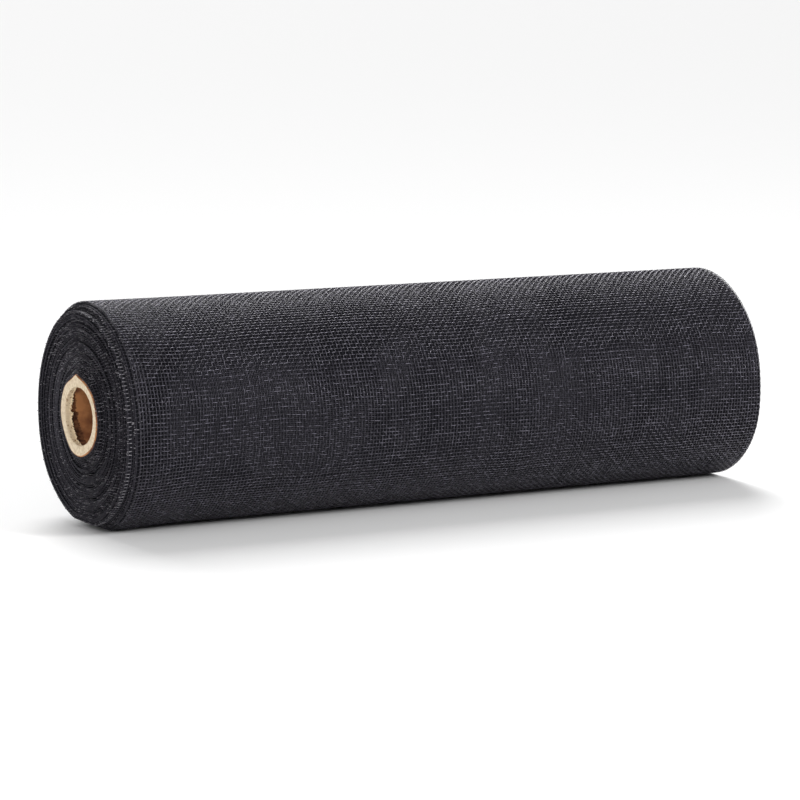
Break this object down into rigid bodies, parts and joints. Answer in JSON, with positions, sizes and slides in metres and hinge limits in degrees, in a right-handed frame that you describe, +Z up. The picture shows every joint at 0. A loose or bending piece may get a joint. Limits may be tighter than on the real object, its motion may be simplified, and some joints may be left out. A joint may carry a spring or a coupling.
{
  "type": "fibreglass insect screen roll on a cardboard core tube",
  "caption": "Charcoal fibreglass insect screen cloth wound tightly on a cardboard core tube, lying on its side.",
  "frame": {"origin": "on the surface that the roll lies on, under the middle of its overall length and width", "axes": "+X along the roll's axis, away from the end whose wraps stand out round the tube; +Z up"},
  "size_m": [0.3084, 0.0947, 0.0939],
  "materials": {
    "screen_cloth": "open plain weave of vinyl-coated glass yarn, satin",
    "core_cardboard": "raw wound cardboard, matt"
  },
  "bodies": {
    "root": {"screen_roll": "screen_cloth", "core_tube": "core_cardboard"}
  },
  "joints": []
}
